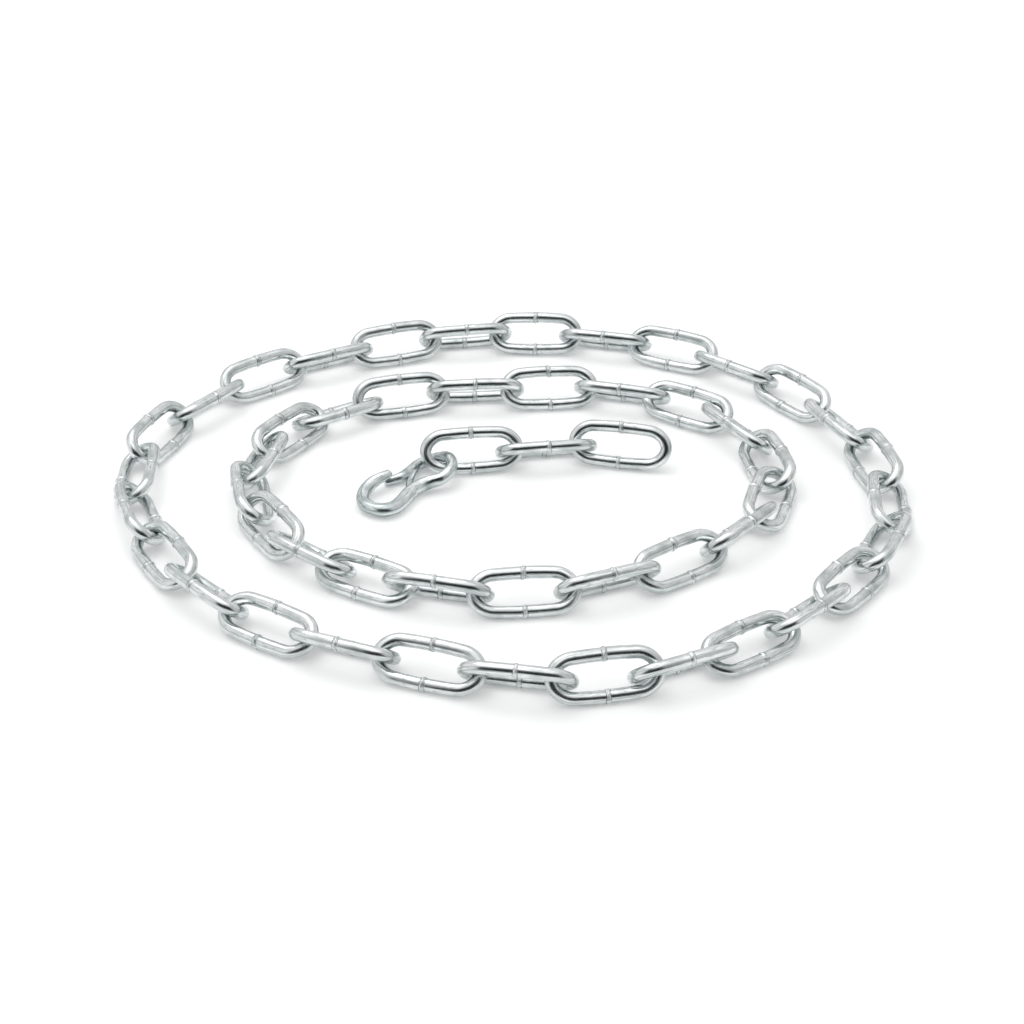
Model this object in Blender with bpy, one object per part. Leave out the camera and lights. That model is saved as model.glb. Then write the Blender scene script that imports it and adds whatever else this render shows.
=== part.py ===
"""Bright zinc-plated steel chain laid on a level floor in two closed rings, one inside the other,
with a short tail of three links in the middle that ends in a formed-wire hook.

Metres, +Z up, the floor at z = 0. The origin is the middle of the laid chain's box, on the floor.
Every link is one length of round wire bent to a long oval and welded, so each link is one solid.
"""

import math

import bmesh
import bpy
from mathutils import Matrix, Vector

MM = 0.001

# The link: outer width is INNER_WIDTH + 2 wires, so the next link's wire has a wire's width of play.
WIRE_DIA = 5.0 * MM
INNER_LENGTH = 34.0 * MM
INNER_WIDTH = 10.0 * MM

# Flats round the wire, flat runs in each half-circle end of a link, and rings between hook points.
WIRE_SIDES = 8
LINK_END_STEPS = 6
HOOK_STEPS = 2
# Samples between two points of a route, fine enough for links to be stepped along it.
ROUTE_STEPS = 40

# Routes of the strands, in mm as seen from above: points that the line of joints passes through.
# Each ring runs clockwise from its first point, where the first link starts.
OUTER_ROUTE = [
    (-5.5, 143.5), (60, 135), (113, 102), (147, 47), (154, -8), (133, -56), (83, -104),
    (22, -126), (-43, -111), (-101, -83), (-143, -31), (-157, 34), (-125, 93), (-69, 128),
]
INNER_ROUTE = [
    (0, 90), (43, 92), (88, 71), (109, 32), (106, -7), (71, -46),
    (21, -70), (-29, -70), (-73, -49), (-103, -16), (-109, 28), (-86, 68), (-45, 86),
]
TAIL_ROUTE = [(-32.8, 32.8), (-3, 36), (28, 41), (66, 34)]

# How far short of pulled tight each link lies, in mm. 1 is a stretch that was drawn out straight, and
# keeps the faceted links about 0.3 mm clear. More is a stretch where the chain was let down in a bunch.
OUTER_SLACKS = [1.2] * 8 + [4.2] * 6 + [1.0] * 14
INNER_SLACKS = [1.0] * 2 + [5.0] * 4 + [1.0] * 5 + [7.0] * 7 + [1.0] * 2
TAIL_SLACKS = [2.3] * 3

# How each link lies, in degrees: plus has the side to the left of the run raised, minus the right.
# Neighbours lean opposite ways, and each rolls until its wire all but meets the next link's.
OUTER_LEANS = [
    55, -40, 45, -35, 40, -35, 40, -30, 35, -25, 40, -25, 45, -55,
    50, -40, 40, -30, 40, -30, 40, -30, 45, -35, 45, -40, 50, -50,
]
INNER_LEANS = [
    50, -40, 35, -40, 35, -25, 45, -35, 50, -45,
    50, -25, 35, -40, 40, -35, 35, -25, 50, -50,
]
TAIL_LEANS = [55, -37, 64]

# The hook's wire, in mm, with its thickness last: from the drawn-down tip over the round bowl, up the
# shank, round the eye that holds the first tail link, and down the other leg, whose thin end lies under
# the tip and closes the mouth.
HOOK_WIRE = [
    (-51.2, 19.2, 6.5, 3.6), (-54.5, 17.0, 5.9, 4.6), (-58.0, 14.2, 4.9, 5.2), (-60.5, 10.0, 3.8, 5.6),
    (-61.2, 5.0, 3.1, 5.7), (-59.5, 0.0, 2.9, 5.8), (-56.0, -3.0, 2.9, 5.8), (-52.0, -4.0, 3.0, 6.0),
    (-48.0, -2.0, 3.0, 6.0), (-45.0, 3.0, 3.0, 6.0), (-42.5, 9.0, 3.0, 6.0), (-39.0, 13.5, 3.4, 6.0),
    (-34.5, 16.0, 4.2, 5.8), (-29.5, 17.0, 5.4, 5.4), (-26.0, 20.5, 6.9, 5.0), (-25.0, 25.5, 7.8, 4.8),
    (-27.0, 30.5, 7.7, 4.8), (-31.0, 34.5, 5.2, 4.8), (-35.3, 35.9, 2.9, 4.8), (-39.4, 33.2, 2.5, 4.9),
    (-42.3, 28.0, 2.6, 5.2), (-45.5, 23.5, 2.5, 4.8), (-49.0, 21.5, 2.2, 4.2), (-52.5, 20.0, 1.9, 3.8),
]
# The bar that closes the eye, from the ring's far side across the waist into the shank, in the same way.
EYE_BAR = [
    (-39.3, 33.0, 2.5, 3.2), (-40.0, 30.0, 2.4, 3.2), (-40.9, 26.5, 2.3, 3.3), (-41.8, 22.5, 2.3, 3.3),
    (-42.4, 19.0, 2.4, 3.3), (-42.5, 15.5, 2.6, 3.3), (-42.0, 11.5, 3.0, 3.3),
]

LINK_LENGTH = INNER_LENGTH + 2 * WIRE_DIA


def metal(name, colour, roughness):
    """One Principled metal."""
    made = bpy.data.materials.new(name)
    made.use_nodes = True
    shader = made.node_tree.nodes["Principled BSDF"]
    shader.inputs["Base Color"].default_value = (*colour, 1.0)
    shader.inputs["Metallic"].default_value = 1.0
    shader.inputs["Roughness"].default_value = roughness
    made.diffuse_color = (*colour, 1.0)
    return made


def wire_section(diameter):
    """The wire's outline as a polygon of the same area as its circle, with flats at 0, 45, 90..."""
    radius = diameter / 2
    side_angle = 2 * math.pi / WIRE_SIDES
    corner = radius * math.sqrt(side_angle / math.sin(side_angle))
    angles = [side_angle * (k + 0.5) for k in range(WIRE_SIDES)]
    return [(corner * math.cos(a), corner * math.sin(a)) for a in angles]


def skin(bm, rings, closed):
    """Join rings of vertices into a tube; an open tube gets a flat face at each end."""
    count = len(rings)
    for i in range(count if closed else count - 1):
        here, after = rings[i], rings[(i + 1) % count]
        for k in range(WIRE_SIDES):
            m = (k + 1) % WIRE_SIDES
            bm.faces.new((here[k], here[m], after[m], after[k]))
    if not closed:
        bm.faces.new(rings[0][::-1])
        bm.faces.new(rings[-1])


def finished_mesh(bm, name, material):
    """Turn the bmesh into a mesh with its faces outward and its round sides smooth."""
    bmesh.ops.triangulate(bm, faces=bm.faces[:])
    bmesh.ops.recalc_face_normals(bm, faces=bm.faces[:])
    mesh = bpy.data.meshes.new(name)
    bm.to_mesh(mesh)
    bm.free()
    mesh.shade_smooth()
    mesh.set_sharp_from_angle(angle=math.radians(60))
    mesh.materials.append(material)
    return mesh


def link_mesh(material):
    """A link lying flat round its middle: long way on X, wide way on Y."""
    bend = (INNER_WIDTH + WIRE_DIA) / 2
    straight = (LINK_LENGTH - INNER_WIDTH - 2 * WIRE_DIA) / 2
    section = wire_section(WIRE_DIA)
    bm = bmesh.new()
    rings = []
    for end, first_angle in ((1, -math.pi / 2), (-1, math.pi / 2)):
        for step in range(LINK_END_STEPS + 1):
            angle = first_angle + math.pi * step / LINK_END_STEPS
            outward = Vector((math.cos(angle), math.sin(angle), 0))
            centre = Vector((end * straight, 0, 0)) + bend * outward
            rings.append([bm.verts.new(centre + u * outward + Vector((0, 0, v))) for u, v in section])
    skin(bm, rings, closed=True)
    return finished_mesh(bm, "long_link", material)


def spline(points, closed, steps):
    """Points along a smooth curve through the given ones (Catmull-Rom)."""
    count = len(points)
    line = []
    for i in range(count if closed else count - 1):
        if closed:
            a, b, c, d = (points[(i + k) % count] for k in (-1, 0, 1, 2))
        else:
            b, c = points[i], points[i + 1]
            a = points[i - 1] if i > 0 else 2 * b - c
            d = points[i + 2] if i + 2 < count else 2 * c - b
        for step in range(steps):
            t = step / steps
            line.append(0.5 * (2 * b + (c - a) * t + (2 * a - 5 * b + 4 * c - d) * t ** 2
                               + (3 * b - a - 3 * c + d) * t ** 3))
    if not closed:
        line.append(points[-1].copy())
    return line


def step_along(line, start_index, start, pitch):
    """The stretch where the line is first a pitch from the start, that point, and how far along it."""
    count = len(line)
    for offset in range(count):
        i = start_index + offset
        a, b = line[i % count], line[(i + 1) % count]
        if (b - start).length >= pitch:
            run = b - a
            reach = a - start
            half_b = reach.dot(run) / run.length_squared
            c = (reach.length_squared - pitch ** 2) / run.length_squared
            t = -half_b + math.sqrt(max(half_b ** 2 - c, 0))
            return i, a + t * run, t
    raise ValueError("the route is too short")


def joints_along(line, slacks):
    """The joints, and how many times round the line the last of them comes."""
    joints = [line[0]]
    index = 0
    share = 0.0
    for slack in slacks:
        index, point, share = step_along(line, index, joints[-1], INNER_LENGTH - slack * MM)
        joints.append(point)
    return joints, (index + share) / len(line)


def ring_joints(route, slacks):
    """The route's size is trimmed until the last link meets the first one, then joints are walked."""
    points = [Vector(p).to_3d() * MM for p in route]
    middle = sum(points, Vector()) / len(points)
    small, large = 0.9, 1.1
    for _ in range(40):
        scale = (small + large) / 2
        line = spline([middle + scale * (p - middle) for p in points], True, ROUTE_STEPS)
        joints, turns = joints_along(line, slacks)
        if turns > 1.0:
            small = scale
        else:
            large = scale
    joints[-1] = joints[0]
    return joints


def tail_joints(route, slacks):
    """The tail is walked from the hook's end."""
    points = [Vector(p).to_3d() * MM for p in route]
    return joints_along(spline(points, False, ROUTE_STEPS), slacks)[0]


def lay_links(name, joints, leans, mesh):
    """One link from each joint to the next, leaning as given, let down until it meets the floor."""
    links = []
    for i, lean in enumerate(leans):
        start, end = joints[i], joints[i + 1]
        run = end - start
        turn = Matrix.Rotation(math.atan2(run.y, run.x), 4, "Z") @ Matrix.Rotation(math.radians(lean), 4, "X")
        lowest = min((turn @ v.co).z for v in mesh.vertices)
        link = bpy.data.objects.new(f"{name}_{i + 1:02d}", mesh)
        link.rotation_euler = turn.to_euler()
        link.location = (start + end) / 2 - Vector((0, 0, lowest))
        bpy.context.collection.objects.link(link)
        links.append(link)
    return links


def swept_wire(points, name, material):
    """A wire swept along its points, its section carried round the bends without a twist."""
    line = spline([Vector(p) * MM for p in points], False, HOOK_STEPS)
    bm = bmesh.new()
    rings = []
    side = None
    last = len(line) - 1
    for i, here in enumerate(line):
        point = here.to_3d()
        radius = here.w / 2
        along = (line[min(i + 1, last)] - line[max(i - 1, 0)]).to_3d().normalized()
        side = along.cross(Vector((0, 0, 1))) if side is None else side - side.dot(along) * along
        side.normalize()
        up = side.cross(along)
        places = [(point, 1.0)]
        if i == 0:
            places = [(point - 0.6 * radius * along, 0.6), (point, 1.0)]
        if i == last:
            places = [(point, 1.0), (point + 0.6 * radius * along, 0.6)]
        section = wire_section(here.w)
        for centre, size in places:
            rings.append([bm.verts.new(centre + size * (u * side + v * up)) for u, v in section])
    skin(bm, rings, closed=False)
    return finished_mesh(bm, name, material)


def box_of(objects):
    """Lowest and highest corners of the objects' points."""
    points = [obj.matrix_world @ v.co for obj in objects for v in obj.data.vertices]
    low = Vector((min(p[k] for p in points) for k in range(3)))
    high = Vector((max(p[k] for p in points) for k in range(3)))
    return low, high


for old in list(bpy.data.objects):
    bpy.data.objects.remove(old, do_unlink=True)

link_zinc = metal("bright_zinc_plated_link_wire", (0.78, 0.81, 0.81), 0.22)
hook_zinc = metal("bright_zinc_plated_hook_wire", (0.76, 0.79, 0.79), 0.26)

link = link_mesh(link_zinc)
pieces = []
pieces += lay_links("outer_link", ring_joints(OUTER_ROUTE, OUTER_SLACKS), OUTER_LEANS, link)
pieces += lay_links("inner_link", ring_joints(INNER_ROUTE, INNER_SLACKS), INNER_LEANS, link)
pieces += lay_links("tail_link", tail_joints(TAIL_ROUTE, TAIL_SLACKS), TAIL_LEANS, link)

hook = bpy.data.objects.new("hook", swept_wire(HOOK_WIRE, "hook_wire", hook_zinc))
hook.location.z = -min(v.co.z for v in hook.data.vertices)
bpy.context.collection.objects.link(hook)
pieces.append(hook)

# The bar is welded in at both its ends, so it is one body with the hook.
eye_bar = bpy.data.objects.new("eye_bar_shape", swept_wire(EYE_BAR, "eye_bar", hook_zinc))
eye_bar.parent = hook
eye_bar.hide_render = True
eye_bar.display_type = "WIRE"
bpy.context.collection.objects.link(eye_bar)
weld = hook.modifiers.new("eye bar", "BOOLEAN")
weld.operation = "UNION"
weld.object = eye_bar

bpy.context.view_layer.update()
low, high = box_of(pieces)
for piece in pieces:
    piece.location.x -= (low.x + high.x) / 2
    piece.location.y -= (low.y + high.y) / 2
bpy.context.view_layer.update()
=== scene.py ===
"""The looks of a laid steel chain: two rings of welded long links, a tail of three more, and a hook.

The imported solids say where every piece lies. Each is replaced by its round, welded and plated wire.
"""

import math

import bpy
import numpy as np
from mathutils import Matrix, Vector


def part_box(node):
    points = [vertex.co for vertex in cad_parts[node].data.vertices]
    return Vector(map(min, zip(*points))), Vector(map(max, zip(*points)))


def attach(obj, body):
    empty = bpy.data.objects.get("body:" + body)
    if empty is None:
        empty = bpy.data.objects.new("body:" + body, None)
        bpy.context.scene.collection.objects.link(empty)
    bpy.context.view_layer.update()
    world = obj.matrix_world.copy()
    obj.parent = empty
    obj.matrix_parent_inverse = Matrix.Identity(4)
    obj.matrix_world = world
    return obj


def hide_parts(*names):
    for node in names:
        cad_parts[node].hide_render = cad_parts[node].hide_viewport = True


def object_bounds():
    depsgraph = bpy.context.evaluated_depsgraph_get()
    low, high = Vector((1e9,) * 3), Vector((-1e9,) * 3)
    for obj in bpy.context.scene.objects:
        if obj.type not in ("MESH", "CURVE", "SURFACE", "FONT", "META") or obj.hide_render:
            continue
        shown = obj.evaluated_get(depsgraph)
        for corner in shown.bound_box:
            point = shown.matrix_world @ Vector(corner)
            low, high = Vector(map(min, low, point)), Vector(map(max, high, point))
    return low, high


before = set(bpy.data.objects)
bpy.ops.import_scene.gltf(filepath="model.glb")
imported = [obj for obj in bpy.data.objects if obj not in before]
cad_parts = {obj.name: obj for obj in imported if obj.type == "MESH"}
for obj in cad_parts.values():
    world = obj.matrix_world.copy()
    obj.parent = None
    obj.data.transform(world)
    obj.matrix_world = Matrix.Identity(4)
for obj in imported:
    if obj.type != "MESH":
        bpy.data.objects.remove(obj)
cad_low, cad_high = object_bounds()

# The long links of both rings and of the tail. Each is drawn mild-steel wire, cut to length, bent to a
# long oval in two halves and butt-welded in the middle of both sides, where the upset metal stands as a
# narrow bead. The finished chain is tumbled and zinc-plated.
MM = 0.001
WIRE_DIAMETER = 5.0 * MM
LINK_INNER_LENGTH = 34.0 * MM
LINK_INNER_WIDTH = 10.0 * MM
# The bending leaves the sides a little bowed: the line of a link's wire narrows by this share by its ends.
BOW = 0.14
# Rings of points along a link, and points round its wire. The rings crowd at the two welds: at 0 they
# don't, and at 1 they would meet there. The line that they follow has these points on each corner.
LINK_RINGS = 128
LINK_SIDES = 32
LINK_CROWDING = 0.88
CORNER_POINTS = 32
# The bead stands this proud, and reaches this far along the wire to either side. It is lumpy: its lumps
# are this far apart, and make it between these shares of that height.
BEAD_SWELL = 0.32 * MM
BEAD_HALF_LENGTH = 0.95 * MM
LUMP_SPACING = 1.6 * MM
LUMP_LEAST = 0.55
LUMP_MOST = 1.3
# At the bead's foot, at this share of its reach, the wire is nicked this deep, and this far to either side
# of the nick's bottom. The nick comes and goes over the last distance.
NICK_PLACE = 0.75
NICK_DEPTH = 0.16 * MM
NICK_HALF_LENGTH = 0.24 * MM
NICK_SPACING = 2.4 * MM
# The bead wanders this far along the wire as it goes round, with a change of way over this distance.
BEAD_WANDER = 0.5 * MM
WANDER_SPACING = 3.0 * MM
# The weld's mark in the finish is full up to the first distance from the weld, and ends at the second.
MARK_FULL = 0.4 * MM
MARK_END = 1.4 * MM
# The halves meet this far out of line, in a direction that goes round by this many radians from link to
# link. A higher sharpness makes the step between them shorter.
HALF_MISMATCH = 0.10 * MM
MISMATCH_TURN = 2.4
MISMATCH_SHARPNESS = 60.0
# Dents from tumbling: how deep, and how far apart.
DENT_DEPTH = 0.03 * MM
DENT_SPACING = 5.0 * MM
# Each link's patterns start this many metres further along than the last one's, so that no two are alike.
PATTERN_STEP = 0.137
# Nearly all of a noise's values lie between these, and half of them are above 0.5.
NOISE_LOW = 0.3
NOISE_HIGH = 0.7


def add(tree, kind, inputs, **settings):
    """Adds a node. An input takes a value, an output of another node, or a node for its first output."""
    node = tree.nodes.new(kind)
    for name, value in settings.items():
        setattr(node, name, value)
    for key, value in inputs.items():
        if isinstance(value, bpy.types.Node):
            value = value.outputs[0]
        if isinstance(value, bpy.types.NodeSocket):
            tree.links.new(value, node.inputs[key])
        else:
            node.inputs[key].default_value = value
    return node


def linear(colour):
    """An sRGB hex colour as linear red, green, blue and alpha."""
    parts = [int(colour[i:i + 2], 16) / 255 for i in (1, 3, 5)]
    return [c / 12.92 if c <= 0.04045 else ((c + 0.055) / 1.055) ** 2.4 for c in parts] + [1.0]


link_tree = bpy.data.node_groups.new("welded_long_link", "GeometryNodeTree")
link_tree.interface.new_socket("Geometry", in_out="OUTPUT", socket_type="NodeSocketGeometry")
for name in ("Wire Diameter", "Inner Length", "Inner Width", "Bow", "Crowding", "Bead Swell",
             "Bead Half Length", "Bead Wander", "Nick Depth", "Nick Half Length",
             "Mismatch Across", "Mismatch Through", "Dent Depth", "Dent Spacing"):
    link_tree.interface.new_socket(name, in_out="INPUT", socket_type="NodeSocketFloat")
for name in ("Rings", "Sides", "Link Number"):
    link_tree.interface.new_socket(name, in_out="INPUT", socket_type="NodeSocketInt")
link_tree.interface.new_socket("Finish", in_out="INPUT", socket_type="NodeSocketMaterial")
given = link_tree.nodes.new("NodeGroupInput").outputs

# The wire's middle line: an oblong whose corners are rounded until both ends are half-circles.
radius = add(link_tree, "ShaderNodeMath", {0: given["Wire Diameter"], 1: 0.5}, operation="MULTIPLY")
line_width = add(link_tree, "ShaderNodeMath", {0: given["Inner Width"], 1: given["Wire Diameter"]})
line_length = add(link_tree, "ShaderNodeMath", {0: given["Inner Length"], 1: given["Wire Diameter"]})
end_radius = add(link_tree, "ShaderNodeMath", {0: line_width, 1: 0.5}, operation="MULTIPLY")
oblong = add(link_tree, "GeometryNodeCurvePrimitiveQuadrilateral",
             {"Width": line_length, "Height": line_width}, mode="RECTANGLE")
oval = add(link_tree, "GeometryNodeFilletCurve",
           {"Curve": oblong, "Radius": end_radius, "Limit Radius": True, "Count": CORNER_POINTS}, mode="POLY")
wire_length = add(link_tree, "GeometryNodeCurveLength", {"Curve": oval})
half = add(link_tree, "ShaderNodeMath", {0: wire_length, 1: 0.5}, operation="MULTIPLY")
quarter = add(link_tree, "ShaderNodeMath", {0: wire_length, 1: 0.25}, operation="MULTIPLY")

# A point for each ring. A sine in their spacing crowds them at the welds, at no turn and at half a turn.
rings = add(link_tree, "GeometryNodeMeshLine", {"Count": given["Rings"]}, mode="OFFSET", count_mode="TOTAL")
index = add(link_tree, "GeometryNodeInputIndex", {})
turn = add(link_tree, "ShaderNodeMath", {0: index, 1: given["Rings"]}, operation="DIVIDE")
angle = add(link_tree, "ShaderNodeMath", {0: turn, 1: 4 * math.pi}, operation="MULTIPLY")
swing = add(link_tree, "ShaderNodeMath", {0: angle}, operation="SINE")
lag = add(link_tree, "ShaderNodeMath", {0: swing, 1: given["Crowding"]}, operation="MULTIPLY")
eased = add(link_tree, "ShaderNodeMath", {0: lag, 1: -0.25 / math.pi, 2: turn}, operation="MULTIPLY_ADD")
along = add(link_tree, "ShaderNodeMath", {0: eased, 1: wire_length}, operation="MULTIPLY")
on_oval = add(link_tree, "ShaderNodeMath", {0: along, 1: quarter})
on_oval = add(link_tree, "ShaderNodeMath", {0: on_oval, 1: wire_length}, operation="FLOORED_MODULO")
where = add(link_tree, "GeometryNodeSampleCurve", {"Curves": oval, "Length": on_oval}, mode="LENGTH")

# The bow: the line narrows towards its ends, by the square of the way out to them.
spread = add(link_tree, "ShaderNodeSeparateXYZ", {0: where.outputs["Position"]}).outputs
half_line = add(link_tree, "ShaderNodeMath", {0: line_length, 1: 0.5}, operation="MULTIPLY")
out = add(link_tree, "ShaderNodeMath", {0: spread["X"], 1: half_line}, operation="DIVIDE")
out = add(link_tree, "ShaderNodeMath", {0: out, 1: 2.0}, operation="POWER")
taper = add(link_tree, "ShaderNodeMath", {0: out, 1: given["Bow"]}, operation="MULTIPLY")
keep = add(link_tree, "ShaderNodeMath", {0: 1.0, 1: taper}, operation="SUBTRACT")
bowed = add(link_tree, "ShaderNodeMath", {0: spread["Y"], 1: keep}, operation="MULTIPLY")
where = add(link_tree, "ShaderNodeCombineXYZ", {"X": spread["X"], "Y": bowed})
laid = add(link_tree, "GeometryNodeSetPosition", {"Geometry": rings, "Position": where})
marked = add(link_tree, "GeometryNodeStoreNamedAttribute",
             {"Geometry": laid, "Name": "along", "Value": along}, data_type="FLOAT", domain="POINT")
strand = add(link_tree, "GeometryNodeMeshToCurve", {"Mesh": marked})
loop = add(link_tree, "GeometryNodeSetSplineCyclic", {0: strand, "Cyclic": True})

# The round section is swept along the line, and each of its points remembers its place in the section.
circle = add(link_tree, "GeometryNodeCurvePrimitiveCircle",
             {"Resolution": given["Sides"], "Radius": 1.0}, mode="RADIUS")
spot = add(link_tree, "GeometryNodeInputPosition", {})
section = add(link_tree, "GeometryNodeStoreNamedAttribute",
              {"Geometry": circle, "Name": "section", "Value": spot},
              data_type="FLOAT_VECTOR", domain="POINT")
skin = add(link_tree, "GeometryNodeCurveToMesh",
           {"Curve": loop, "Profile Curve": section, "Scale": radius, "Fill Caps": True})

# Each point's place on the wire as it was before it was bent, in metres, for patterns to follow.
along = add(link_tree, "GeometryNodeInputNamedAttribute", {"Name": "along"}, data_type="FLOAT")
round_it = add(link_tree, "GeometryNodeInputNamedAttribute", {"Name": "section"}, data_type="FLOAT_VECTOR")
flat = add(link_tree, "ShaderNodeVectorMath", {0: round_it, "Scale": radius}, operation="SCALE")
apart = add(link_tree, "ShaderNodeMath", {0: given["Link Number"], 1: PATTERN_STEP, 2: along},
            operation="MULTIPLY_ADD")
far = add(link_tree, "ShaderNodeCombineXYZ", {"Z": apart})
place = add(link_tree, "ShaderNodeVectorMath", {0: flat, 1: far}, operation="ADD")
skin = add(link_tree, "GeometryNodeStoreNamedAttribute",
           {"Geometry": skin, "Name": "on_wire", "Value": place}, data_type="FLOAT_VECTOR", domain="POINT")

# The way to the nearer weld, which wanders as it goes round the wire.
sway = add(link_tree, "ShaderNodeTexNoise", {"Vector": place, "Scale": 1 / WANDER_SPACING, "Detail": 1.0})
sway = add(link_tree, "ShaderNodeMath", {0: sway, 1: 0.5}, operation="SUBTRACT")
off = add(link_tree, "ShaderNodeMath", {0: sway, 1: given["Bead Wander"], 2: along}, operation="MULTIPLY_ADD")
off = add(link_tree, "ShaderNodeMath", {0: off, 1: quarter})
off = add(link_tree, "ShaderNodeMath", {0: off, 1: half}, operation="FLOORED_MODULO")
to_weld = add(link_tree, "ShaderNodeMath", {0: off, 1: quarter}, operation="SUBTRACT")
from_weld = add(link_tree, "ShaderNodeMath", {0: to_weld}, operation="ABSOLUTE")

# The bead, its nicked foot on one side, and the dents, all along the surface's normal.
hump = add(link_tree, "ShaderNodeMapRange",
           {"Value": from_weld, "From Min": given["Bead Half Length"], "From Max": 0.0},
           interpolation_type="SMOOTHSTEP")
lumps = add(link_tree, "ShaderNodeTexNoise", {"Vector": place, "Scale": 1 / LUMP_SPACING, "Detail": 1.0})
lumps = add(link_tree, "ShaderNodeMapRange",
            {"Value": lumps, "From Min": NOISE_LOW, "From Max": NOISE_HIGH,
             "To Min": LUMP_LEAST, "To Max": LUMP_MOST})
swell = add(link_tree, "ShaderNodeMath", {0: hump, 1: given["Bead Swell"]}, operation="MULTIPLY")
swell = add(link_tree, "ShaderNodeMath", {0: swell, 1: lumps}, operation="MULTIPLY")
foot = add(link_tree, "ShaderNodeMath", {0: given["Bead Half Length"], 1: -NICK_PLACE, 2: to_weld},
           operation="MULTIPLY_ADD")
foot = add(link_tree, "ShaderNodeMath", {0: foot}, operation="ABSOLUTE")
nick = add(link_tree, "ShaderNodeMapRange",
           {"Value": foot, "From Min": given["Nick Half Length"], "From Max": 0.0,
            "To Max": given["Nick Depth"]}, interpolation_type="SMOOTHSTEP")
patches = add(link_tree, "ShaderNodeTexNoise", {"Vector": place, "Scale": 1 / NICK_SPACING, "Detail": 1.0})
patches = add(link_tree, "ShaderNodeMapRange", {"Value": patches, "From Min": 0.35, "From Max": 0.6})
nick = add(link_tree, "ShaderNodeMath", {0: nick, 1: patches}, operation="MULTIPLY")
crowd = add(link_tree, "ShaderNodeMath", {0: 1.0, 1: given["Dent Spacing"]}, operation="DIVIDE")
dents = add(link_tree, "ShaderNodeTexNoise", {"Vector": place, "Scale": crowd, "Detail": 2.0})
dents = add(link_tree, "ShaderNodeMath", {0: dents, 1: 0.5}, operation="SUBTRACT")
raised = add(link_tree, "ShaderNodeMath", {0: dents, 1: given["Dent Depth"], 2: swell},
             operation="MULTIPLY_ADD")
raised = add(link_tree, "ShaderNodeMath", {0: raised, 1: nick}, operation="SUBTRACT")
outward = add(link_tree, "GeometryNodeInputNormal", {})
lift = add(link_tree, "ShaderNodeVectorMath", {0: outward, "Scale": raised}, operation="SCALE")

# The two halves, bent apart from each other, meet a little out of line.
circling = add(link_tree, "ShaderNodeMath", {0: along, 1: wire_length}, operation="DIVIDE")
circling = add(link_tree, "ShaderNodeMath", {0: circling, 1: 2 * math.pi}, operation="MULTIPLY")
side = add(link_tree, "ShaderNodeMath", {0: circling}, operation="SINE")
side = add(link_tree, "ShaderNodeMath", {0: side, 1: MISMATCH_SHARPNESS}, operation="MULTIPLY")
side = add(link_tree, "ShaderNodeMath", {0: side}, operation="TANH")
step = add(link_tree, "ShaderNodeCombineXYZ", {"Y": given["Mismatch Across"], "Z": given["Mismatch Through"]})
step = add(link_tree, "ShaderNodeVectorMath", {0: step, "Scale": side}, operation="SCALE")
moved = add(link_tree, "ShaderNodeVectorMath", {0: lift, 1: step}, operation="ADD")
formed = add(link_tree, "GeometryNodeSetPosition", {"Geometry": skin, "Offset": moved})

# The weld's mark, which the finish follows. What only the shaping needed is taken off the mesh.
near = add(link_tree, "ShaderNodeMapRange",
           {"Value": from_weld, "From Min": MARK_END, "From Max": MARK_FULL}, interpolation_type="SMOOTHSTEP")
formed = add(link_tree, "GeometryNodeStoreNamedAttribute",
             {"Geometry": formed, "Name": "weld", "Value": near}, data_type="FLOAT", domain="POINT")
for spare in ("along", "section"):
    formed = add(link_tree, "GeometryNodeRemoveAttribute", {"Geometry": formed, "Name": spare})
smooth = add(link_tree, "GeometryNodeSetShadeSmooth", {0: formed})
real = add(link_tree, "GeometryNodeRealizeInstances", {0: smooth})
plated = add(link_tree, "GeometryNodeSetMaterial", {"Geometry": real, "Material": given["Finish"]})
add(link_tree, "NodeGroupOutput", {0: plated})


# How far apart the plate's milky clouds, its specks and the patches of painted shade in the crease at a
# bead's foot are. Distances along the wire count for this share in the draw lines and in the specks, which
# draws them out.
CLOUD_SPACING = 7.0 * MM
SPECK_SPACING = 0.6 * MM
CREASE_SHADE_SPACING = 1.8 * MM
LINE_STRETCH = 0.02
SPECK_STRETCH = 0.16
# The colour of the painted shade in the crease at a bead's foot.
CREASE_SHADE_COLOUR = "#737B7A"
# The relief that the lines and the specks leave in the plate, and how much of it the specks have.
RELIEF_STRENGTH = 0.45
RELIEF_DEPTH = 0.03 * MM
SPECK_RELIEF = 0.7
# The weld is this much rougher than the wire beside it.
WELD_ROUGHNESS = 0.24


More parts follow.
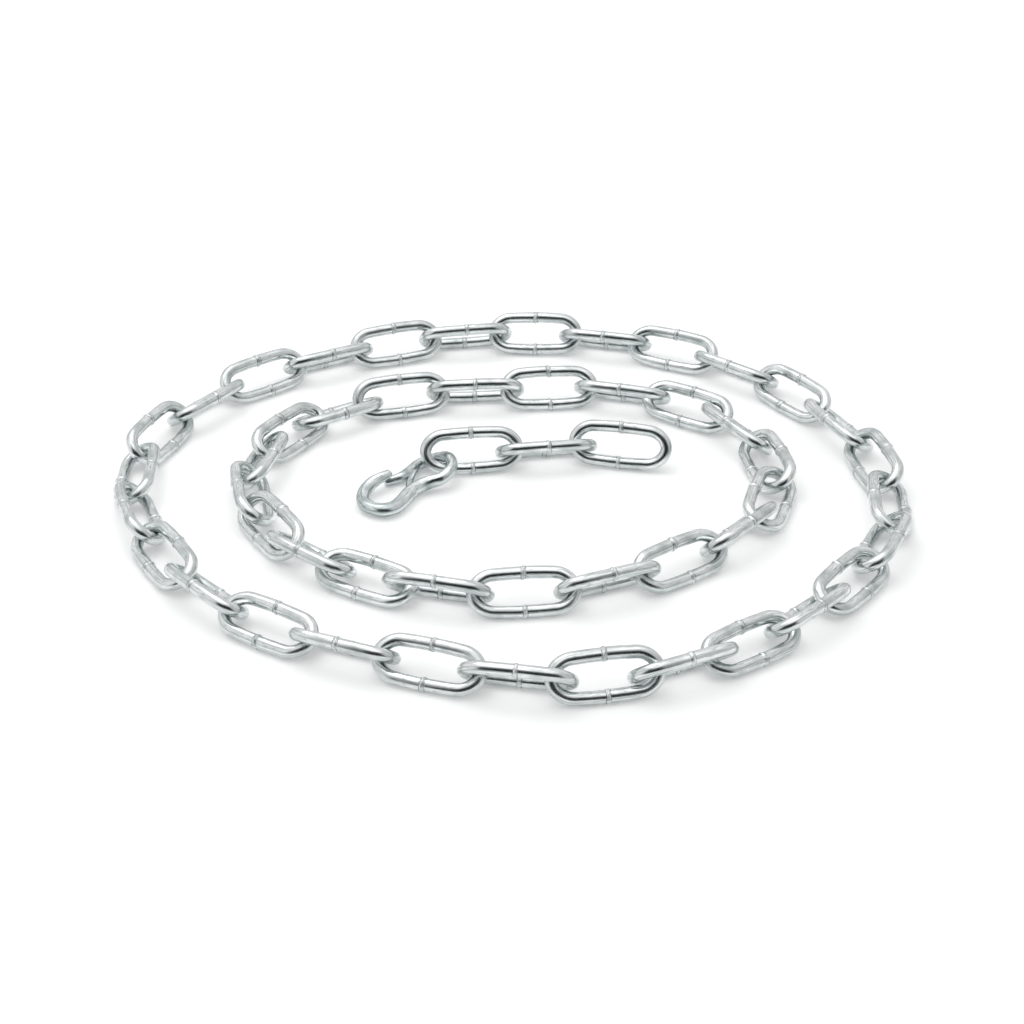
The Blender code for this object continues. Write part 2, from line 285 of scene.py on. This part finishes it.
def zinc_plate(name, colour, dull_colour, line_spacing, smoothest, roughest):
    """Bright electroplated zinc with a clear blue passivation, on drawn mild-steel wire.

    To the eye it is satin-bright with a cool cast. The wire's draw lines show through the thin plate as
    streaks along it, drawn wider than the real 0.2 mm so that they show. The plate is milky in clouds and
    in specks, drawn larger than the real 0.1 mm for the same reason, and dull at the welds.
    """
    made = bpy.data.materials.new(name)
    made.use_nodes = True
    tree = made.node_tree
    shader = tree.nodes["Principled BSDF"]
    shader.inputs["Metallic"].default_value = 1.0
    place = add(tree, "ShaderNodeAttribute", {}, attribute_name="on_wire").outputs["Vector"]
    weld = add(tree, "ShaderNodeAttribute", {}, attribute_name="weld").outputs["Fac"]
    # The higher the value at which a noise starts to count, the less of the surface it marks.
    drawn = add(tree, "ShaderNodeMapping", {"Vector": place, "Scale": (1.0, 1.0, LINE_STRETCH)})
    lines = add(tree, "ShaderNodeTexNoise", {"Vector": drawn, "Scale": 1 / line_spacing, "Detail": 3.0})
    clouds = add(tree, "ShaderNodeTexNoise", {"Vector": place, "Scale": 1 / CLOUD_SPACING, "Detail": 2.0})
    milky = add(tree, "ShaderNodeMapRange", {"Value": clouds, "From Min": 0.4, "From Max": 0.75})
    streaks = add(tree, "ShaderNodeMapRange", {"Value": lines, "From Min": 0.50, "From Max": 0.66})
    longer = add(tree, "ShaderNodeMapping", {"Vector": place, "Scale": (1.0, 1.0, SPECK_STRETCH)})
    grain = add(tree, "ShaderNodeTexNoise", {"Vector": longer, "Scale": 1 / SPECK_SPACING, "Detail": 2.0})
    specks = add(tree, "ShaderNodeMapRange", {"Value": grain, "From Min": 0.5, "From Max": 0.7})
    dull = add(tree, "ShaderNodeMath", {0: milky, 1: streaks}, operation="MAXIMUM")
    dull = add(tree, "ShaderNodeMath", {0: dull, 1: specks}, operation="MAXIMUM")
    toned = add(tree, "ShaderNodeMix", {0: dull, 6: linear(colour), 7: linear(dull_colour)}, data_type="RGBA")
    # Half way down the weld's mark is the crease at the bead's foot. It is darkened here and there with
    # painted shade, which stands in for the shade that falls into the crease.
    crease = add(tree, "ShaderNodeMath", {0: weld, 1: 0.5}, operation="SUBTRACT")
    crease = add(tree, "ShaderNodeMath", {0: crease}, operation="ABSOLUTE")
    crease = add(tree, "ShaderNodeMapRange", {"Value": crease, "From Min": 0.36, "From Max": 0.05})
    broken = add(tree, "ShaderNodeTexNoise", {"Vector": place, "Scale": 1 / CREASE_SHADE_SPACING, "Detail": 1.0})
    broken = add(tree, "ShaderNodeMapRange",
                 {"Value": broken, "From Min": 0.38, "From Max": 0.58, "To Min": 0.15})
    crease = add(tree, "ShaderNodeMath", {0: crease, 1: broken}, operation="MULTIPLY")
    # Painted shade: the crease is darkened towards its colour in patches.
    crease_shaded = add(tree, "ShaderNodeMix", {0: crease, 6: toned.outputs[2], 7: linear(CREASE_SHADE_COLOUR)},
                  data_type="RGBA")
    tree.links.new(crease_shaded.outputs[2], shader.inputs["Base Color"])
    rough = add(tree, "ShaderNodeMapRange",
                {"Value": lines, "From Min": NOISE_LOW, "From Max": NOISE_HIGH,
                 "To Min": smoothest, "To Max": roughest})
    rough = add(tree, "ShaderNodeMath", {0: weld, 1: WELD_ROUGHNESS, 2: rough}, operation="MULTIPLY_ADD")
    tree.links.new(rough.outputs[0], shader.inputs["Roughness"])
    height = add(tree, "ShaderNodeMath", {0: grain, 1: SPECK_RELIEF, 2: lines}, operation="MULTIPLY_ADD")
    relief = add(tree, "ShaderNodeBump",
                 {"Strength": RELIEF_STRENGTH, "Distance": RELIEF_DEPTH, "Height": height})
    tree.links.new(relief.outputs[0], shader.inputs["Normal"])
    return made


def finished(name, tree, values, turn, drawing=None):
    """A plain mesh object of what the tree makes of a drawing, with its place in its mesh."""
    maker = bpy.data.objects.new("maker", drawing or bpy.data.meshes.new("maker"))
    bpy.context.collection.objects.link(maker)
    modifier = maker.modifiers.new(tree.name, "NODES")
    modifier.node_group = tree
    for item in tree.interface.items_tree:
        if item.in_out == "INPUT" and item.name in values:
            modifier[item.identifier] = values[item.name]
    depsgraph = bpy.context.evaluated_depsgraph_get()
    mesh = bpy.data.meshes.new_from_object(maker.evaluated_get(depsgraph), depsgraph=depsgraph)
    bpy.data.objects.remove(maker)
    mesh.name = name
    mesh.transform(turn)
    piece = bpy.data.objects.new(name, mesh)
    bpy.context.collection.objects.link(piece)
    return piece


def worn_flat(mesh):
    """The beads are worn flat where they would reach below the floor or out of the laid chain's box."""
    places = np.empty(len(mesh.vertices) * 3)
    mesh.vertices.foreach_get("co", places)
    places = np.clip(places.reshape(-1, 3), cad_low, cad_high)
    mesh.vertices.foreach_set("co", places.ravel())
    mesh.update()


def lie_of(node):
    """Where a link lies, from its solid's moments: its long way is X, and its wide way Y, upper side +Y."""
    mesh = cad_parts[node].data
    mesh.calc_loop_triangles()
    corners = np.array([[mesh.vertices[v].co for v in t.vertices] for t in mesh.loop_triangles])
    # Each triangle makes a tetrahedron with the origin. Its centre is a quarter of its corners' sum, and
    # its second moments are a twentieth of these products.
    volumes = np.einsum("ij,ij->i", corners[:, 0], np.cross(corners[:, 1], corners[:, 2]))
    sums = corners.sum(1)
    middle = (volumes[:, None] * sums).sum(0) / volumes.sum() / 4
    products = np.einsum("i,ij,ik->jk", volumes, sums, sums)
    products = products + np.einsum("i,inj,ink->jk", volumes, corners, corners)
    spread = products / volumes.sum() / 20 - np.outer(middle, middle)
    ways = np.linalg.eigh(spread)[1]
    wide = Vector(ways[:, 1]) * math.copysign(1, ways[2, 1])
    thin = Vector(ways[:, 0]) * math.copysign(1, ways[2, 0])
    turn = Matrix((wide.cross(thin), wide, thin)).transposed().to_4x4()
    return Matrix.Translation(Vector(middle)) @ turn


link_zinc = zinc_plate("bright_zinc_on_drawn_wire", "#E8EBEB", "#B4BBBB",
                       line_spacing=0.6 * MM, smoothest=0.17, roughest=0.30)
link_nodes = sorted(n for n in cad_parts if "_link_" in n)
for number, node in enumerate(link_nodes):
    spin = number * MISMATCH_TURN
    values = {
        "Wire Diameter": WIRE_DIAMETER,
        "Inner Length": LINK_INNER_LENGTH,
        "Inner Width": LINK_INNER_WIDTH,
        "Bow": BOW,
        "Rings": LINK_RINGS,
        "Sides": LINK_SIDES,
        "Crowding": LINK_CROWDING,
        "Bead Swell": BEAD_SWELL,
        "Bead Half Length": BEAD_HALF_LENGTH,
        "Bead Wander": BEAD_WANDER,
        "Nick Depth": NICK_DEPTH,
        "Nick Half Length": NICK_HALF_LENGTH,
        "Mismatch Across": HALF_MISMATCH * math.cos(spin),
        "Mismatch Through": HALF_MISMATCH * math.sin(spin),
        "Dent Depth": DENT_DEPTH,
        "Dent Spacing": DENT_SPACING,
        "Link Number": number,
        "Finish": link_zinc,
    }
    link = finished(node.replace("_link_", "_welded_link_"), link_tree, values, lie_of(node))
    worn_flat(link.data)
    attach(link, "root")
    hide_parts(node)

# The hook: one length of heavier wire, cold-formed on a die to a round bowl and an eye, with a thinner bar
# welded in across its waist, which closes the eye round the tail's first link. The forming draws its ends
# down, and leaves long die lines under the zinc.

# Each row is a place on the wire's middle line and the wire's thickness there, in millimetres. The wire
# runs from the tip over the bowl, up the shank, round the eye and down the other leg. The bar runs from
# the eye's far end to the shank.
HOOK_WIRE = [
    (-50.3, 19.8, 6.7, 3.5), (-51.2, 19.2, 6.5, 3.7),
    (-54.5, 17.0, 5.9, 4.6), (-58.0, 14.2, 4.9, 5.2), (-60.5, 10.0, 3.8, 5.6),
    (-61.2, 5.0, 3.1, 5.7), (-59.5, 0.0, 2.9, 5.8), (-56.0, -3.0, 2.9, 5.8), (-52.0, -4.0, 3.0, 6.0),
    (-48.0, -2.0, 3.0, 6.0), (-45.0, 3.0, 3.0, 6.0), (-42.5, 9.0, 3.0, 6.0), (-39.0, 13.5, 3.4, 6.0),
    (-34.5, 16.0, 4.2, 5.8), (-29.5, 17.0, 5.4, 5.4), (-26.0, 20.5, 6.9, 5.0), (-25.0, 25.5, 7.8, 4.8),
    (-27.0, 30.5, 7.7, 4.8), (-31.0, 34.5, 5.2, 4.8), (-35.3, 35.9, 2.9, 4.8), (-39.4, 33.2, 2.5, 4.9),
    (-42.3, 28.0, 2.6, 5.2), (-45.5, 23.5, 2.5, 4.8), (-49.0, 21.5, 2.2, 4.2), (-52.5, 20.0, 1.9, 3.8),
    (-53.5, 19.6, 1.8, 3.6),
]
EYE_BAR = [
    (-39.3, 33.0, 2.5, 3.2), (-40.0, 30.0, 2.4, 3.2), (-40.9, 26.5, 2.3, 3.3), (-41.8, 22.5, 2.3, 3.3),
    (-42.4, 19.0, 2.4, 3.3), (-42.5, 15.5, 2.6, 3.3), (-42.0, 11.5, 3.0, 3.3),
]
HOOK_RING_SPACING = 0.25 * MM
HOOK_SIDES = 40
HOOK_CURVE_POINTS = 16
# The cut ends are rounded off over this length, down to this share of the thickness.
END_ROUNDING = 0.9 * MM
END_SHARE = 0.55
# The die's pinch marks: shallow flats and dents, four times as long along the wire as across it.
PINCH_DEPTH = 0.12 * MM
PINCH_SPACING = 2.8 * MM
PINCH_STRETCH = 0.25
# An edge sharper than this, such as the rim of a cut end, is left sharp in the shading.
RIM_ANGLE = math.radians(50)

hook_tree = bpy.data.node_groups.new("formed_wire_hook", "GeometryNodeTree")
hook_tree.interface.new_socket("Geometry", in_out="OUTPUT", socket_type="NodeSocketGeometry")
hook_tree.interface.new_socket("Middle Line", in_out="INPUT", socket_type="NodeSocketGeometry")
for name in ("Ring Spacing", "End Rounding", "End Share", "Pinch Depth"):
    hook_tree.interface.new_socket(name, in_out="INPUT", socket_type="NodeSocketFloat")
hook_tree.interface.new_socket("Sides", in_out="INPUT", socket_type="NodeSocketInt")
hook_tree.interface.new_socket("Finish", in_out="INPUT", socket_type="NodeSocketMaterial")
given = hook_tree.nodes.new("NodeGroupInput").outputs

# A smooth curve through the drawing's points, cut into even short steps.
strand = add(hook_tree, "GeometryNodeMeshToCurve", {"Mesh": given["Middle Line"]})
bent = add(hook_tree, "GeometryNodeCurveSplineType", {"Curve": strand}, spline_type="CATMULL_ROM")
fine = add(hook_tree, "GeometryNodeSetSplineResolution", {0: bent, "Resolution": HOOK_CURVE_POINTS})
even = add(hook_tree, "GeometryNodeResampleCurve",
           {"Curve": fine, "Length": given["Ring Spacing"]}, mode="LENGTH")
wire_length = add(hook_tree, "GeometryNodeSplineLength", {}).outputs["Length"]
along = add(hook_tree, "GeometryNodeSplineParameter", {}).outputs["Length"]
marked = add(hook_tree, "GeometryNodeStoreNamedAttribute",
             {"Geometry": even, "Name": "along", "Value": along}, data_type="FLOAT", domain="POINT")

# The thickness along the wire, with both ends rounded off.
thickness = add(hook_tree, "GeometryNodeInputNamedAttribute", {"Name": "thickness"}, data_type="FLOAT")
left = add(hook_tree, "ShaderNodeMath", {0: wire_length, 1: along}, operation="SUBTRACT")
to_end = add(hook_tree, "ShaderNodeMath", {0: along, 1: left}, operation="MINIMUM")
share = add(hook_tree, "ShaderNodeMapRange",
            {"Value": to_end, "From Max": given["End Rounding"], "To Max": math.pi / 2})
share = add(hook_tree, "ShaderNodeMath", {0: share}, operation="SINE")
share = add(hook_tree, "ShaderNodeMapRange", {"Value": share, "To Min": given["End Share"], "To Max": 1.0})
radius = add(hook_tree, "ShaderNodeMath", {0: thickness, 1: 0.5}, operation="MULTIPLY")
radius = add(hook_tree, "ShaderNodeMath", {0: radius, 1: share}, operation="MULTIPLY")
marked = add(hook_tree, "GeometryNodeStoreNamedAttribute",
             {"Geometry": marked, "Name": "radius_here", "Value": radius}, data_type="FLOAT", domain="POINT")
reach = add(hook_tree, "GeometryNodeInputNamedAttribute", {"Name": "radius_here"}, data_type="FLOAT")
circle = add(hook_tree, "GeometryNodeCurvePrimitiveCircle",
             {"Resolution": given["Sides"], "Radius": 1.0}, mode="RADIUS")
spot = add(hook_tree, "GeometryNodeInputPosition", {})
section = add(hook_tree, "GeometryNodeStoreNamedAttribute",
              {"Geometry": circle, "Name": "section", "Value": spot},
              data_type="FLOAT_VECTOR", domain="POINT")
skin = add(hook_tree, "GeometryNodeCurveToMesh",
           {"Curve": marked, "Profile Curve": section, "Scale": reach, "Fill Caps": True})

# The place on the straight wire, as on the links, and the pinch marks of the die.
along = add(hook_tree, "GeometryNodeInputNamedAttribute", {"Name": "along"}, data_type="FLOAT")
round_it = add(hook_tree, "GeometryNodeInputNamedAttribute", {"Name": "section"}, data_type="FLOAT_VECTOR")
flat = add(hook_tree, "ShaderNodeVectorMath", {0: round_it, "Scale": reach}, operation="SCALE")
far = add(hook_tree, "ShaderNodeCombineXYZ", {"Z": along})
place = add(hook_tree, "ShaderNodeVectorMath", {0: flat, 1: far}, operation="ADD")
skin = add(hook_tree, "GeometryNodeStoreNamedAttribute",
           {"Geometry": skin, "Name": "on_wire", "Value": place}, data_type="FLOAT_VECTOR", domain="POINT")
long_way = add(hook_tree, "ShaderNodeVectorMath", {0: place, 1: (1.0, 1.0, PINCH_STRETCH)},
               operation="MULTIPLY")
pinches = add(hook_tree, "ShaderNodeTexNoise",
              {"Vector": long_way, "Scale": 1 / PINCH_SPACING, "Detail": 1.5})
pinches = add(hook_tree, "ShaderNodeMapRange",
              {"Value": pinches, "From Min": 0.48, "From Max": 0.72, "To Max": given["Pinch Depth"]},
              interpolation_type="SMOOTHSTEP")
inward = add(hook_tree, "ShaderNodeMath", {0: pinches, 1: -1.0}, operation="MULTIPLY")
outward = add(hook_tree, "GeometryNodeInputNormal", {})
lift = add(hook_tree, "ShaderNodeVectorMath", {0: outward, "Scale": inward}, operation="SCALE")
formed = add(hook_tree, "GeometryNodeSetPosition", {"Geometry": skin, "Offset": lift})
for spare in ("along", "section", "thickness", "radius_here"):
    formed = add(hook_tree, "GeometryNodeRemoveAttribute", {"Geometry": formed, "Name": spare})

# The bar's weld makes one skin of the two strands, which takes its places on the wire from them.
welded = add(hook_tree, "GeometryNodeMeshBoolean", {"Mesh 2": formed, "Self Intersection": True},
             operation="UNION", solver="EXACT")
place = add(hook_tree, "GeometryNodeInputNamedAttribute", {"Name": "on_wire"}, data_type="FLOAT_VECTOR")
place = add(hook_tree, "GeometryNodeSampleNearestSurface", {"Mesh": formed, "Value": place},
            data_type="FLOAT_VECTOR")
formed = add(hook_tree, "GeometryNodeStoreNamedAttribute",
             {"Geometry": welded, "Name": "on_wire", "Value": place},
             data_type="FLOAT_VECTOR", domain="POINT")
smooth = add(hook_tree, "GeometryNodeSetShadeSmooth", {0: formed})
real = add(hook_tree, "GeometryNodeRealizeInstances", {0: smooth})
plated = add(hook_tree, "GeometryNodeSetMaterial", {"Geometry": real, "Material": given["Finish"]})
add(hook_tree, "NodeGroupOutput", {0: plated})

# The drawing of both middle lines. Each place is joined to the next, but the wire's last isn't to the
# bar's first.
drawing = bpy.data.meshes.new("hook_middle_lines")
strokes = HOOK_WIRE + EYE_BAR
steps = [(i, i + 1) for i in range(len(strokes) - 1) if i + 1 != len(HOOK_WIRE)]
drawing.from_pydata([Vector(p[:3]) * MM for p in strokes], steps, [])
drawing.attributes.new("thickness", "FLOAT", "POINT")
drawing.attributes["thickness"].data.foreach_set("value", [p[3] * MM for p in strokes])
hook_zinc = zinc_plate("bright_zinc_on_formed_wire", "#E8ECEC", "#9DA8A8",
                       line_spacing=0.9 * MM, smoothest=0.16, roughest=0.32)
values = {
    "Ring Spacing": HOOK_RING_SPACING,
    "Sides": HOOK_SIDES,
    "End Rounding": END_ROUNDING,
    "End Share": END_SHARE,
    "Pinch Depth": PINCH_DEPTH,
    "Finish": hook_zinc,
}
hook = finished("formed_hook", hook_tree, values, Matrix.Identity(4), drawing)
hook.data.set_sharp_from_angle(angle=RIM_ANGLE)

# The hook is put in the middle of its solid's box, and its lowest point on the floor.
hook_low, hook_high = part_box("hook")
corners = np.array([v.co for v in hook.data.vertices])
shift = (np.array(hook_low) + np.array(hook_high) - corners.min(0) - corners.max(0)) / 2
shift[2] = -corners[:, 2].min()
hook.data.transform(Matrix.Translation(Vector(shift)))
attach(hook, "root")
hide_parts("hook")

# The floor: a sheet of opal acrylic, so wide that its edge is a low horizon in the wire. It is lit a
# little from below, as on a product table, and that lifts the shadows.
FLOOR_SIZE = 8.0
GLOW = 0.25
# It lies this far under the chain, so that the wires' lowest points aren't in its plane.
FLOOR_DROP = 0.02 * MM
floor_mesh = bpy.data.meshes.new("floor")
edge = FLOOR_SIZE / 2
floor_corners = [(-edge, -edge, 0), (edge, -edge, 0), (edge, edge, 0), (-edge, edge, 0)]
floor_mesh.from_pydata(floor_corners, [], [(0, 1, 2, 3)])
floor = bpy.data.objects.new("floor", floor_mesh)
floor_mesh.transform(Matrix.Translation((0, 0, -FLOOR_DROP)))
bpy.context.collection.objects.link(floor)

# Matt opal acrylic: a milky sheet with a sandblasted face, which gives an even white with no gloss.
acrylic = bpy.data.materials.new("matt_opal_acrylic")
acrylic.use_nodes = True
sheet = acrylic.node_tree.nodes["Principled BSDF"].inputs
sheet["Base Color"].default_value = linear("#EFF0F0")
sheet["Roughness"].default_value = 0.9
sheet["Specular IOR Level"].default_value = 0.0
sheet["Emission Color"].default_value = linear("#FDFDFD")
sheet["Emission Strength"].default_value = GLOW
floor_mesh.materials.append(acrylic)

# The light tent: white cloth all round and above, with a gap in front that the chain is seen through, and
# a dark room beyond it. The gap is clear to this far either side and this high, and has faded into the
# cloth by the wider angle and the greater height.
GAP_HALF_WIDTH = math.radians(32)
GAP_HALF_WIDTH_FADED = math.radians(54)
GAP_HEIGHT = math.radians(38)
GAP_HEIGHT_FADED = math.radians(66)
CLOTH_COLOUR = "#FFFFFF"
ROOM_COLOUR = "#252B2C"
# How bright the tent's parts are. The foot's is its share of the wall above it.
LEFT_WALL = 0.93
RIGHT_WALL = 0.70
BACK_WALL = 0.88
ROOF = 1.38
FOOT = 0.65
# The walls change from the left one's brightness to the right one's between this angle on either side of
# the front, and to the back's between the next two.
SIDE_REACH = math.radians(70)
BACK_FROM = math.radians(90)
BACK_FULL = math.radians(140)
# Angles up from the floor: the top of the foot, and where the roof starts and where it is brightest.
FOOT_TOP = math.radians(14)
ROOF_FROM = math.radians(46)
ROOF_FULL = math.radians(76)
world = bpy.data.worlds.new("light_tent")
world.use_nodes = True
bpy.context.scene.world = world
tree = world.node_tree
tree.nodes.clear()
way = add(tree, "ShaderNodeTexCoord", {}).outputs["Generated"]
axes = add(tree, "ShaderNodeSeparateXYZ", {0: way}).outputs
height = add(tree, "ShaderNodeMath", {0: axes["Z"]}, operation="ARCSINE")
ahead = add(tree, "ShaderNodeMath", {0: axes["Y"], 1: -1.0}, operation="MULTIPLY")
bearing = add(tree, "ShaderNodeMath", {0: axes["X"], 1: ahead}, operation="ARCTAN2")
aside = add(tree, "ShaderNodeMath", {0: bearing}, operation="ABSOLUTE")
front = add(tree, "ShaderNodeMapRange",
            {"Value": aside, "From Min": GAP_HALF_WIDTH_FADED, "From Max": GAP_HALF_WIDTH},
            interpolation_type="SMOOTHSTEP")
low = add(tree, "ShaderNodeMapRange",
          {"Value": height, "From Min": GAP_HEIGHT_FADED, "From Max": GAP_HEIGHT},
          interpolation_type="SMOOTHSTEP")
gap = add(tree, "ShaderNodeMath", {0: front, 1: low}, operation="MULTIPLY")

# The tent's right wall is dimmer than its left one and its back, and all are dimmest at their foot. Most
# of the light comes through its roof.
side = add(tree, "ShaderNodeMapRange",
           {"Value": bearing, "From Min": -SIDE_REACH, "From Max": SIDE_REACH,
            "To Min": LEFT_WALL, "To Max": RIGHT_WALL}, interpolation_type="SMOOTHSTEP")
behind = add(tree, "ShaderNodeMapRange",
             {"Value": aside, "From Min": BACK_FROM, "From Max": BACK_FULL},
             interpolation_type="SMOOTHSTEP")
more = add(tree, "ShaderNodeMath", {0: BACK_WALL, 1: side}, operation="SUBTRACT")
wall = add(tree, "ShaderNodeMath", {0: more, 1: behind, 2: side}, operation="MULTIPLY_ADD")
foot = add(tree, "ShaderNodeMapRange",
           {"Value": height, "From Min": 0.0, "From Max": FOOT_TOP, "To Min": FOOT, "To Max": 1.0},
           interpolation_type="SMOOTHSTEP")
roof = add(tree, "ShaderNodeMapRange",
           {"Value": height, "From Min": ROOF_FROM, "From Max": ROOF_FULL},
           interpolation_type="SMOOTHSTEP")
more = add(tree, "ShaderNodeMath", {0: ROOF, 1: wall}, operation="SUBTRACT")
level = add(tree, "ShaderNodeMath", {0: more, 1: roof, 2: wall}, operation="MULTIPLY_ADD")
level = add(tree, "ShaderNodeMath", {0: level, 1: foot}, operation="MULTIPLY")
cloth = add(tree, "ShaderNodeMix", {0: gap, 6: linear(CLOTH_COLOUR), 7: linear(ROOM_COLOUR)},
            data_type="RGBA")
lamp = add(tree, "ShaderNodeBackground", {"Color": cloth.outputs[2], "Strength": level})
add(tree, "ShaderNodeOutputWorld", {"Surface": lamp})

# The main lamp: a square softbox high at the back and to the left, so shadows fall forward and right.
SOFTBOX_SIZE = 0.7
SOFTBOX_WATTS = 2.5
SOFTBOX_PLACE = (-0.32, 0.36, 1.08)
softbox = bpy.data.objects.new("softbox", bpy.data.lights.new("softbox", "AREA"))
softbox.data.shape = "SQUARE"
softbox.data.size = SOFTBOX_SIZE
softbox.data.energy = SOFTBOX_WATTS
softbox.location = SOFTBOX_PLACE
softbox.rotation_euler = (-softbox.location).to_track_quat("-Z", "Y").to_euler()
bpy.context.collection.objects.link(softbox)

scene = bpy.context.scene
scene.view_settings.view_transform = "Standard"

# The camera looks down at the chain from in front. Its focal length is given in widths of its picture.
CAMERA_DOWN = math.radians(32)
CAMERA_AWAY = 0.8152
CAMERA_AIM = Vector((0.00110, -0.00937, 0.0))
FOCAL_WIDTHS = 1995 / 1024
SENSOR_WIDTH = 36.0
camera = bpy.data.objects.new("camera", bpy.data.cameras.new("camera"))
bpy.context.collection.objects.link(camera)
camera.data.sensor_width = SENSOR_WIDTH
camera.data.lens = FOCAL_WIDTHS * SENSOR_WIDTH
camera.location = CAMERA_AIM + CAMERA_AWAY * Vector((0, -math.cos(CAMERA_DOWN), math.sin(CAMERA_DOWN)))
camera.rotation_euler = (math.pi / 2 - CAMERA_DOWN, 0, 0)
scene.camera = camera
